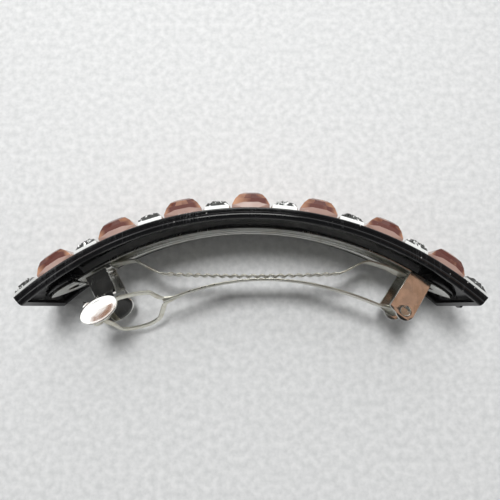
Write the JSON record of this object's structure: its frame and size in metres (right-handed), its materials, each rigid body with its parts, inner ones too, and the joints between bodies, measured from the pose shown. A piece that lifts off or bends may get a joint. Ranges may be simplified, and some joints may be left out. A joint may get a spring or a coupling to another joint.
{
  "type": "barrette",
  "caption": "Curved black hair barrette with a row of brown and silver stones and a steel French clip underneath.",
  "frame": {"origin": "centre of the bounding box's bottom face, on the surface that the barrette's long edge rests on", "axes": "+X along the barrette towards its hinge, +Y out of the stones' side at mid-length, +Z across its width, up from the long edge that it rests on"},
  "size_m": [0.097, 0.0301, 0.02],
  "materials": {
    "shell_plastic": "moulded gloss, fine handling scratches and dust",
    "adhesive": "cured, slightly glossy",
    "plate_steel": "bright plated strip, drawn lengthwise",
    "catch_steel": "bright plated pressing",
    "spring_steel": "bright rolled spring strip",
    "brown_stone": "cut acrylic, foil backed",
    "silver_stone": "metallised, finely faceted crown"
  },
  "bodies": {
    "body": {"shell": "shell_plastic", "left_glue": "adhesive", "right_glue": "adhesive", "base_plate": "plate_steel", "catch_bridge": "catch_steel", "catch_rivet": "catch_steel", "tension_bow": "spring_steel", "brown_stone_1": "brown_stone", "brown_stone_2": "brown_stone", "brown_stone_3": "brown_stone", "brown_stone_4": "brown_stone", "brown_stone_5": "brown_stone", "brown_stone_6": "brown_stone", "brown_stone_7": "brown_stone", "silver_stone_1": "silver_stone", "silver_stone_2": "silver_stone", "silver_stone_3": "silver_stone", "silver_stone_4": "silver_stone", "silver_stone_5": "silver_stone", "silver_stone_6": "silver_stone", "silver_stone_7": "silver_stone", "silver_stone_8": "silver_stone"},
    "arm": {"arm": "spring_steel"},
    "near_wing": {"near_wing": "catch_steel"},
    "far_wing": {"far_wing": "catch_steel"}
  },
  "joints": [
    {"name": "arm_hinge", "type": "hinge", "parent": "body", "child": "arm", "pos_m": [0.03277, -0.01017, 0.01], "axis": [0, 0, 1], "range_deg": [0, 100]},
    {"name": "near_wing_pinch", "type": "hinge", "parent": "body", "child": "near_wing", "pos_m": [-0.03215, -0.00169, 0.0134], "axis": [0.8712, 0.4909, 0], "range_deg": [0, 8], "stiffness_Nm_per_rad": 0.02},
    {"name": "far_wing_pinch", "type": "hinge", "parent": "body", "child": "far_wing", "pos_m": [-0.03215, -0.00169, 0.0066], "axis": [0.8712, 0.4909, 0], "range_deg": [-8, 0], "stiffness_Nm_per_rad": 0.02}
  ],
  "couplings": [
    {"joint": "far_wing_pinch", "follows": "near_wing_pinch", "ratio": -1}
  ]
}
